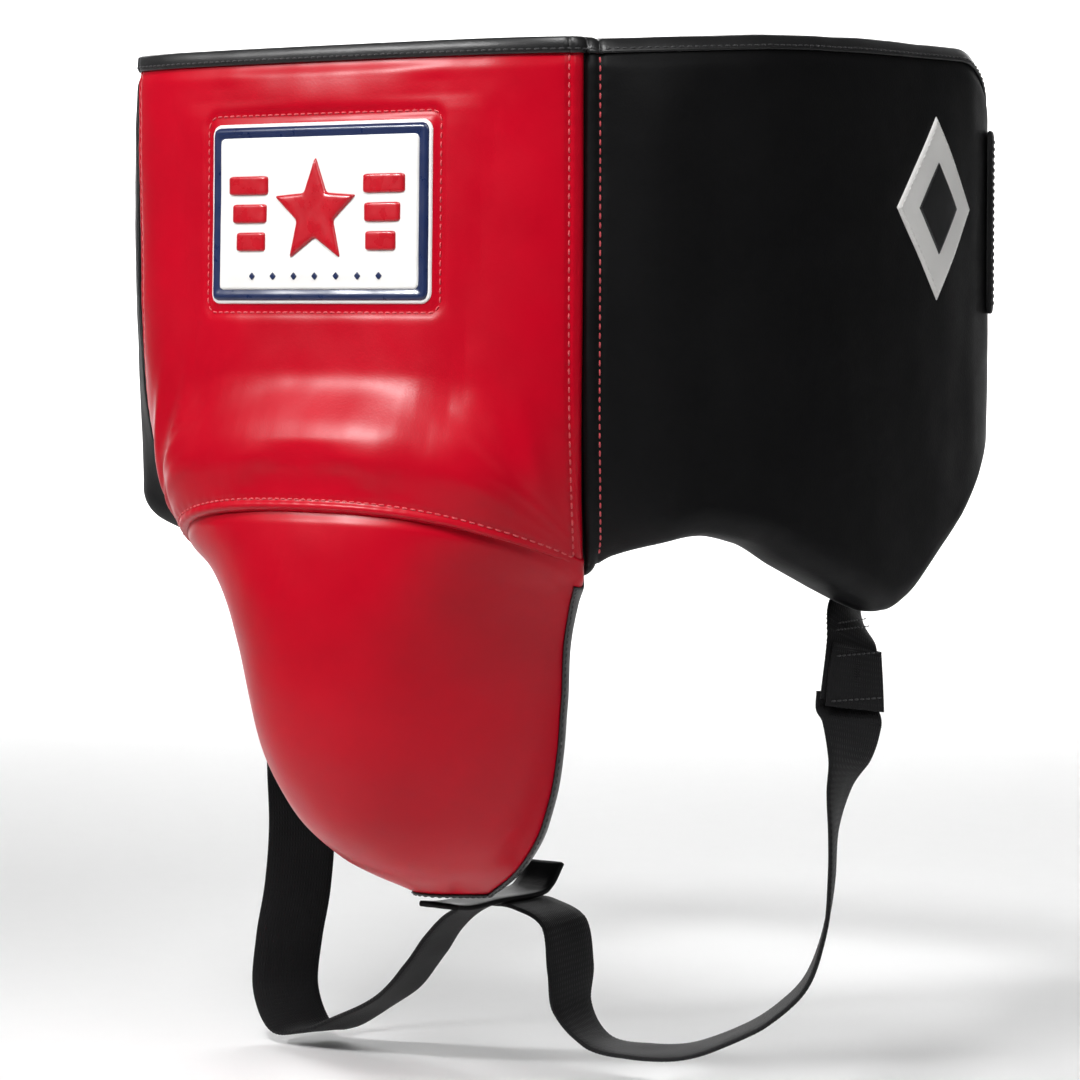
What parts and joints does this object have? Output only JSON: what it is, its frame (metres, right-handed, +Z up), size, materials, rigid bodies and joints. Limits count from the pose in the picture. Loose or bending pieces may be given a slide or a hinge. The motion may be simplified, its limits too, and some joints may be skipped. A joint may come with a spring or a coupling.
{
  "type": "groin protector",
  "caption": "Padded boxing groin protector: red leather abdomen panel and cup, black hip pads around the waist, elastic back closure and leg straps.",
  "frame": {"origin": "centre of the waist opening, level with the back closure strap's middle", "axes": "+X to the wearer's left, -Y to the front, +Z up"},
  "size_m": [0.3546, 0.3176, 0.45],
  "materials": {
    "red_leather": "glossy coated red leather",
    "black_leather": "semi-gloss coated black leather, fine grain",
    "lining": "matte black nylon lining",
    "binding_tape": "folded and stitched black binding",
    "elastic": "ribbed black elastic webbing",
    "hook_tape": "black hook-and-loop tape",
    "foam": "closed-cell foam padding",
    "cup_shell": "moulded hard plastic",
    "navy_vinyl": "glossy moulded vinyl",
    "white_vinyl": "glossy moulded vinyl",
    "red_vinyl": "glossy raised vinyl"
  },
  "bodies": {
    "front": {"front_cover": "red_leather", "front_foam_firm": "foam", "front_foam_soft": "foam", "front_lining": "lining", "cup_cover": "red_leather", "cup_foam": "foam", "groin_cup": "cup_shell", "cup_cushion": "foam", "cup_lining": "lining", "cup_binding": "binding_tape", "top_binding_front": "binding_tape", "badge_backing": "navy_vinyl", "badge_field": "white_vinyl", "badge_star": "red_vinyl", "badge_bar_left": "red_vinyl", "badge_bar_right": "red_vinyl", "crotch_tab": "black_leather", "leg_strap_left": "elastic", "leg_strap_right": "elastic"},
    "hip_left": {"hip_cover_left": "black_leather", "hip_foam_left": "foam", "hip_lining_left": "lining", "top_binding_left": "binding_tape", "hip_patch_left": "white_vinyl", "hip_patch_inlay_left": "black_leather", "leg_anchor_left": "binding_tape"},
    "hip_right": {"hip_cover_right": "black_leather", "hip_foam_right": "foam", "hip_lining_right": "lining", "top_binding_right": "binding_tape", "hip_patch_right": "white_vinyl", "hip_patch_inlay_right": "black_leather", "leg_anchor_right": "binding_tape"},
    "closure_left": {"back_strap_left": "elastic", "hook_patch": "hook_tape", "pull_tab": "black_leather"},
    "closure_right": {"back_strap_right": "elastic", "loop_patch": "hook_tape"},
    "flap_left": {"leg_flap_left": "hook_tape"},
    "flap_right": {"leg_flap_right": "hook_tape"}
  },
  "joints": [
    {"name": "hip_left_open", "type": "hinge", "parent": "front", "child": "hip_left", "pos_m": [0.1225, -0.104, 0], "axis": [0, 0, -1], "range_deg": [0, 35]},
    {"name": "hip_right_open", "type": "hinge", "parent": "front", "child": "hip_right", "pos_m": [-0.1225, -0.104, 0], "axis": [0, 0, 1], "range_deg": [0, 35]},
    {"name": "closure_left_peel", "type": "hinge", "parent": "hip_left", "child": "closure_left", "pos_m": [0.1688, 0.1262, 0.003], "axis": [0, 0, -1], "range_deg": [0, 75]},
    {"name": "closure_right_swing", "type": "hinge", "parent": "hip_right", "child": "closure_right", "pos_m": [-0.1688, 0.1262, 0.003], "axis": [0, 0, 1], "range_deg": [0, 30]},
    {"name": "leg_flap_left_peel", "type": "hinge", "parent": "hip_left", "child": "flap_left", "pos_m": [0.1582, 0.0395, -0.1785], "axis": [-0.1194, -0.9796, 0.1619], "range_deg": [0, 95]},
    {"name": "leg_flap_right_peel", "type": "hinge", "parent": "hip_right", "child": "flap_right", "pos_m": [-0.1582, 0.0395, -0.1785], "axis": [-0.1194, 0.9796, -0.1619], "range_deg": [0, 95]}
  ],
  "couplings": [
    {"joint": "hip_right_open", "follows": "hip_left_open", "ratio": 1},
    {"joint": "closure_right_swing", "follows": "closure_left_peel", "ratio": 0.4}
  ]
}
